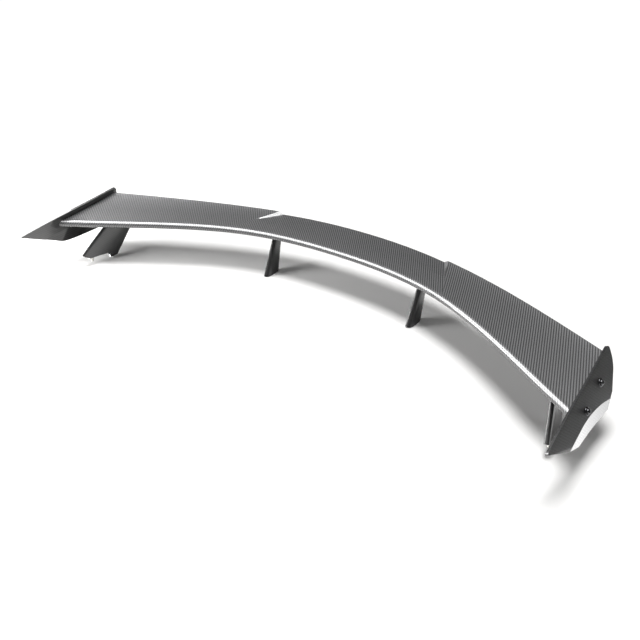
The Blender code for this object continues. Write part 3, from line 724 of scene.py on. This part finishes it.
def nut_mesh():
    """A hexagon nut with its corners chamfered by a cone above and below."""
    corner = NUT_FLATS / math.sqrt(3.0)
    face = corner * NUT_FACE
    bore = STUD_RADIUS + GAP
    mouth = bore + NUT_CHAMFER
    low, high = NUT_CHAMFER, NUT_HEIGHT - NUT_CHAMFER
    profile = [(mouth, NUT_HEIGHT), (face, NUT_HEIGHT), (corner, high), (corner, low), (face, 0.0),
               (mouth, 0.0), (bore, low), (bore, high), (mouth, NUT_HEIGHT)]
    mesh = turned_mesh("hexagon_nut", profile, steps=96, sharp=25.0)
    for vert in mesh.vertices:
        radius = math.hypot(vert.co.x, vert.co.y)
        if radius > bore + 2.0 * NUT_CHAMFER:
            angle = math.atan2(vert.co.y, vert.co.x) % (math.pi / 3) - math.pi / 6
            flat = NUT_FLATS / 2 / math.cos(angle)
            if radius > flat:
                vert.co.x *= flat / radius
                vert.co.y *= flat / radius
    mesh.set_sharp_from_angle(angle=math.radians(25.0))
    return mesh


def stud_mesh():
    """A stud whose thread is a row of ridges."""
    root = STUD_RADIUS - THREAD_DEPTH
    low, high = STUD_Z
    z = THREAD_TOP_Z
    profile = [(0.0, high), (STUD_RADIUS, high), (STUD_RADIUS, z)]
    while z - THREAD_PITCH > low + THREAD_END:
        profile += [(root, z - THREAD_PITCH * 0.5), (STUD_RADIUS, z - THREAD_PITCH)]
        z -= THREAD_PITCH
    profile += [(root, low), (0.0, low)]
    return turned_mesh("foot_stud", profile, steps=32, sharp=20.0)


def both_sides(name, mesh, origin, axis, material, slot, cad_name):
    """A turned piece at its place on the right-hand side, and its mirror image."""
    for side_name, start, along in (("right", origin, axis), ("left", other_side(origin), other_side(axis))):
        placed = mesh.copy()
        placed.transform(axis_matrix(start, along))
        link_piece(f"{name}_{side_name}", placed, material, slot, f"{cad_name}_{side_name}")


end_plate("right", 1.0)
end_plate("left", -1.0)
WASHER = washer_mesh()
BUTTON = button_mesh()
for place, (bolt_y, bolt_z) in BOLT_AT.items():
    origin = Vector((plate_x(bolt_y, bolt_z), bolt_y, bolt_z))
    both_sides(f"finishing_washer_{place}", WASHER, origin, OUTWARD, BLACK_STEEL, "black_steel",
               f"end_plate_washer_{place}")
    both_sides(f"button_screw_{place}", BUTTON, origin, OUTWARD, BLACK_STEEL, "black_steel",
               f"end_plate_screw_{place}")
both_sides("foot_nut", nut_mesh(), Vector((*STUD_AT, NUT_BASE)), UP, ZINC_STEEL, "zinc_steel",
           "outer_foot_nut")
both_sides("foot_stud", stud_mesh(), Vector((*STUD_AT, 0.0)), UP, ZINC_STEEL, "zinc_steel",
           "outer_foot_stud")


# ---------------------------------------------------------------- carried-over pieces

FINISH = (("spar", BARE_CARBON), ("screw", ZINC_STEEL), ("heel_pin", ZINC_STEEL), ("rib", ALUMINIUM),
          ("hardpoint", ALUMINIUM), ("core", ALUMINIUM), ("block", ALUMINIUM))
for node_name, node in NODES.items():
    if node.hide_render:
        continue
    finish = next(material for word, material in FINISH if word in node_name)
    node.data.materials.clear()
    node.data.materials.append(finish)


# ---------------------------------------------------------------- floor, light and camera

FLOOR_HALF = 7.0          # half the floor's width
SEEN_WORLD = 1.0          # the backdrop's strength, as the camera sees it
WORLD_LIGHT = 0.15        # and as it lights the part

CAMERA_AT = (1.3342, -1.3288, 1.1606)
CAMERA_RIGHT = (0.75507, 0.64926, -0.09125)
CAMERA_UP = (-0.28606, 0.45146, 0.84520)
LENS = 50.625             # millimetres, on a 36 mm sensor


def floor():
    """A pale matt floor, wide enough to fill the picture."""
    bm = bmesh.new()
    bmesh.ops.create_grid(bm, x_segments=8, y_segments=8, size=FLOOR_HALF)
    mesh = bpy.data.meshes.new("floor")
    bm.to_mesh(mesh)
    bm.free()
    item = bpy.data.objects.new("floor", mesh)
    bpy.context.scene.collection.objects.link(item)
    nodes = Nodes("pale_floor", 0.9)
    nodes.shader.inputs["Base Color"].default_value = (0.93, 0.925, 0.915, 1.0)
    nodes.shader.inputs["Specular IOR Level"].default_value = 0.0
    mesh.materials.append(nodes.material)


def overhead_sun(name, direction, strength, spread):
    """Even light from above, with shadow edges as soft as its spread in degrees."""
    light = bpy.data.lights.new(name, "SUN")
    light.energy = strength
    light.angle = math.radians(spread)
    item = bpy.data.objects.new(name, light)
    item.rotation_euler = Vector(direction).to_track_quat("Z", "Y").to_euler()
    bpy.context.scene.collection.objects.link(item)


def reflector(name, corners, strength):
    """A card that only glossy surfaces see: it lights nothing and casts no shadow."""
    mesh = bpy.data.meshes.new(name)
    mesh.from_pydata(corners, [], [(0, 1, 2, 3)])
    nodes = Nodes(name, 1.0)
    nodes.shader.inputs["Base Color"].default_value = (0.0, 0.0, 0.0, 1.0)
    nodes.shader.inputs["Specular IOR Level"].default_value = 0.0
    nodes.shader.inputs["Emission Color"].default_value = (1.0, 1.0, 1.0, 1.0)
    nodes.shader.inputs["Emission Strength"].default_value = strength
    mesh.materials.append(nodes.material)
    card = bpy.data.objects.new(name, mesh)
    card.visible_camera = False
    card.visible_diffuse = False
    card.visible_transmission = False
    card.visible_shadow = False
    bpy.context.scene.collection.objects.link(card)


def soft_box(name, location, target, size, power):
    """A fill light that neither the camera nor a glossy surface sees."""
    light = bpy.data.lights.new(name, "AREA")
    light.shape = "RECTANGLE"
    light.size, light.size_y = size
    light.energy = power
    item = bpy.data.objects.new(name, light)
    item.location = location
    aim = Vector(target) - Vector(location)
    item.rotation_euler = aim.to_track_quat("-Z", "Y").to_euler()
    item.visible_camera = False
    item.visible_glossy = False
    bpy.context.scene.collection.objects.link(item)


def camera():
    """The photograph's camera: its axes in the part's frame, its place and its lens."""
    right = Vector(CAMERA_RIGHT)
    up = Vector(CAMERA_UP)
    back = right.cross(up)
    lens = bpy.data.cameras.new("photo_camera")
    lens.lens = LENS
    lens.sensor_width = 36.0
    lens.clip_end = 50.0
    item = bpy.data.objects.new("photo_camera", lens)
    turn = Matrix((right, up, back)).transposed()
    item.matrix_world = Matrix.Translation(CAMERA_AT) @ turn.to_4x4()
    bpy.context.scene.collection.objects.link(item)
    bpy.context.scene.camera = item


def world():
    """A white backdrop that lights the part only faintly."""
    studio = bpy.data.worlds.new("studio")
    studio.use_nodes = True
    tree = studio.node_tree
    background = tree.nodes["Background"]
    background.inputs["Color"].default_value = (1.0, 1.0, 1.0, 1.0)
    path = tree.nodes.new("ShaderNodeLightPath")
    strength = tree.nodes.new("ShaderNodeMapRange")
    strength.inputs["To Min"].default_value = WORLD_LIGHT
    strength.inputs["To Max"].default_value = SEEN_WORLD
    tree.links.new(path.outputs["Is Camera Ray"], strength.inputs["Value"])
    tree.links.new(strength.outputs["Result"], background.inputs["Strength"])
    bpy.context.scene.world = studio


floor()
world()
camera()
overhead_sun("overhead", direction=UP, strength=3.0, spread=24.0)
# Highlights on the glossy blade
reflector("top_card", ((-1.9, -0.9, 1.45), (-1.9, 0.35, 1.45), (0.6, 0.35, 1.75), (0.6, -0.9, 1.75)),
          strength=13.0)
reflector("left_card", ((-2.3, -1.0, 0.1), (-2.3, 0.40, 0.1), (-2.3, 0.40, 1.4), (-2.3, -1.0, 1.4)),
          strength=15.0)
# The bright lip and the dark face of the near end plate, from the floor right beside it
reflector("low_card", ((0.805, -0.25, 0.001), (0.875, -0.25, 0.001), (0.875, 0.22, 0.001),
                       (0.805, 0.22, 0.001)), strength=2.4)
reflector("grey_flag", ((0.89, 0.04, 0.001), (1.60, -0.10, 0.001), (1.60, 1.20, 0.001),
                        (0.89, 1.20, 0.001)), strength=0.10)
soft_box("left_fill", location=(-1.35, -0.9, 0.6), target=(-0.7, 0.0, 0.0), size=(0.8, 0.8), power=24.0)
soft_box("right_fill", location=(1.7, 0.15, 0.45), target=(0.86, 0.0, 0.0), size=(0.6, 0.5), power=2.0)
bpy.context.scene.view_settings.view_transform = "Standard"
